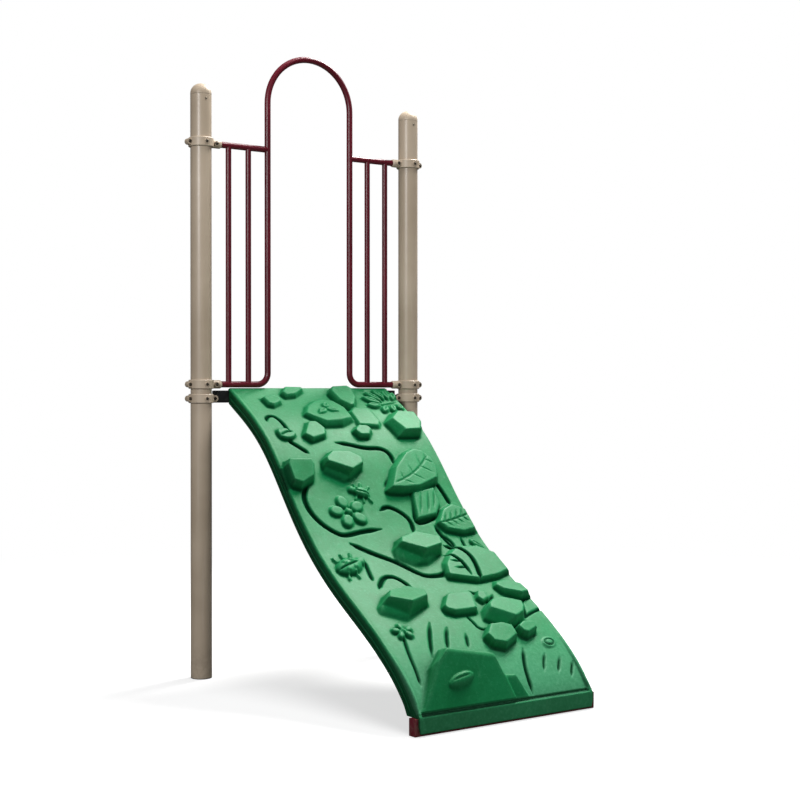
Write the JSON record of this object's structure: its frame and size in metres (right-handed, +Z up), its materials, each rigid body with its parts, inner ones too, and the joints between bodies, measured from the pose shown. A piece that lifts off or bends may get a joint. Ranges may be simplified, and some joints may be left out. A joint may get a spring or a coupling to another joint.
{
  "type": "playground climbing wall",
  "caption": "Moulded rock climbing ramp for a playground deck, with toe rail, deck-edge beam, two posts and a tubular entry arch with side barriers.",
  "frame": {"origin": "on the ground, under the middle of the footprint", "axes": "+Z up; +X to the right of a climber facing the wall, along the line through both posts; -Y from the posts towards the foot of the ramp"},
  "size_m": [1.207, 1.4486, 2.6793],
  "materials": {
    "green_polyethylene": "rotationally moulded, fine grained, through-coloured green",
    "black_plastic": "moulded black plastic",
    "maroon_powder_coat": "maroon powder coat on steel",
    "black_pvc_coat": "black PVC dip coat on steel",
    "tan_powder_coat": "tan powder coat on steel tube",
    "tan_cast_aluminium": "cast aluminium, tan powder coat",
    "rivet_aluminium": "painted rivet",
    "zinc_steel": "zinc plated steel",
    "fastener_dark": "stainless steel fastener with a dark recess",
    "insert_brass": "knurled brass insert"
  },
  "bodies": {
    "root": {"climbing_panel": "green_polyethylene", "panel_vent_plugs": "black_plastic", "base_rail": "maroon_powder_coat", "base_rail_washers": "zinc_steel", "base_rail_bolts": "zinc_steel", "panel_toe_inserts": "insert_brass", "deck_edge_beam": "black_pvc_coat", "beam_end_fittings": "black_pvc_coat", "panel_top_washers": "zinc_steel", "panel_top_bolts": "zinc_steel", "panel_top_inserts": "insert_brass", "left_post": "tan_powder_coat", "right_post": "tan_powder_coat", "left_post_cap": "tan_cast_aluminium", "right_post_cap": "tan_cast_aluminium", "cap_rivets": "rivet_aluminium", "post_foot_plugs": "black_plastic", "arch_tube": "maroon_powder_coat", "left_top_rail": "maroon_powder_coat", "right_top_rail": "maroon_powder_coat", "left_balusters": "maroon_powder_coat", "right_balusters": "maroon_powder_coat", "rail_clamp_bolts": "fastener_dark", "rail_clamp_nuts": "fastener_dark", "beam_clamp_bolts": "fastener_dark", "beam_clamp_nuts": "fastener_dark", "clamp_set_screws": "fastener_dark", "left_top_clamp_front": "tan_cast_aluminium", "left_top_clamp_back": "tan_cast_aluminium", "left_bottom_clamp_front": "tan_cast_aluminium", "left_bottom_clamp_back": "tan_cast_aluminium", "left_beam_clamp_front": "tan_cast_aluminium", "left_beam_clamp_back": "tan_cast_aluminium", "right_top_clamp_front": "tan_cast_aluminium", "right_top_clamp_back": "tan_cast_aluminium", "right_bottom_clamp_front": "tan_cast_aluminium", "right_bottom_clamp_back": "tan_cast_aluminium", "right_beam_clamp_front": "tan_cast_aluminium", "right_beam_clamp_back": "tan_cast_aluminium"}
  },
  "joints": []
}
